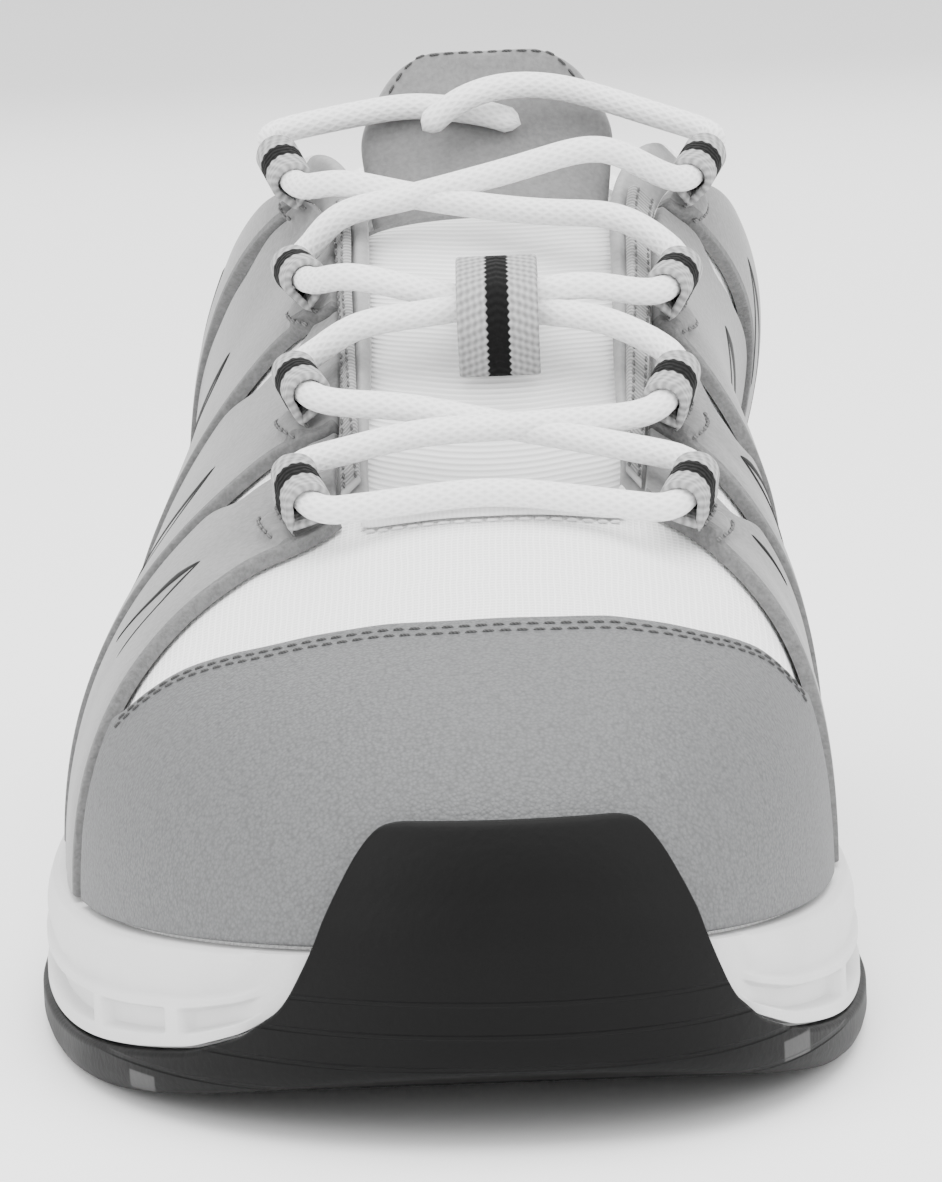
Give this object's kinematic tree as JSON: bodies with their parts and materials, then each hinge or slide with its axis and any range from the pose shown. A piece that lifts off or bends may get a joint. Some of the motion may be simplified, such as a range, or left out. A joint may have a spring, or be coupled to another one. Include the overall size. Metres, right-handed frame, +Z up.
{
  "type": "safety sneaker",
  "caption": "Low safety sneaker for the right foot: hollow textile upper with grey overlays and lace loops, white cup midsole, black outsole with a toe bumper.",
  "frame": {"origin": "on the ground under the middle of the sole's bounding box", "axes": "+Z up, +Y from toe to heel, +X towards the medial side of the right foot"},
  "size_m": [0.114, 0.302, 0.1272],
  "materials": {
    "microfibre": "grey microfibre, suede-like, matt",
    "footbed": "dark textile over foam",
    "lace_cord": "white braided cord",
    "webbing": "grey woven webbing with a black stripe",
    "midsole_foam": "white moulded foam with a matt skin",
    "outsole_rubber": "black moulded rubber, satin, faintly scuffed",
    "textile": "white ripstop-like textile"
  },
  "bodies": {
    "root": {"band_lateral_1": "microfibre", "band_lateral_2": "microfibre", "band_lateral_3": "microfibre", "band_lateral_4": "microfibre", "band_medial_1": "microfibre", "band_medial_2": "microfibre", "band_medial_3": "microfibre", "band_medial_4": "microfibre", "heel_counter": "microfibre", "insole": "footbed", "lace": "lace_cord", "lace_end_lateral": "lace_cord", "lace_end_medial": "lace_cord", "lace_keeper": "webbing", "loop_lateral_1": "webbing", "loop_lateral_2": "webbing", "loop_lateral_3": "webbing", "loop_lateral_4": "webbing", "loop_medial_1": "webbing", "loop_medial_2": "webbing", "loop_medial_3": "webbing", "loop_medial_4": "webbing", "midsole": "midsole_foam", "outsole": "outsole_rubber", "throat_lip": "textile", "throat_tape_lateral": "microfibre", "throat_tape_medial": "microfibre", "toe_cap": "microfibre", "tongue": "textile", "upper": "textile"}
  },
  "joints": []
}
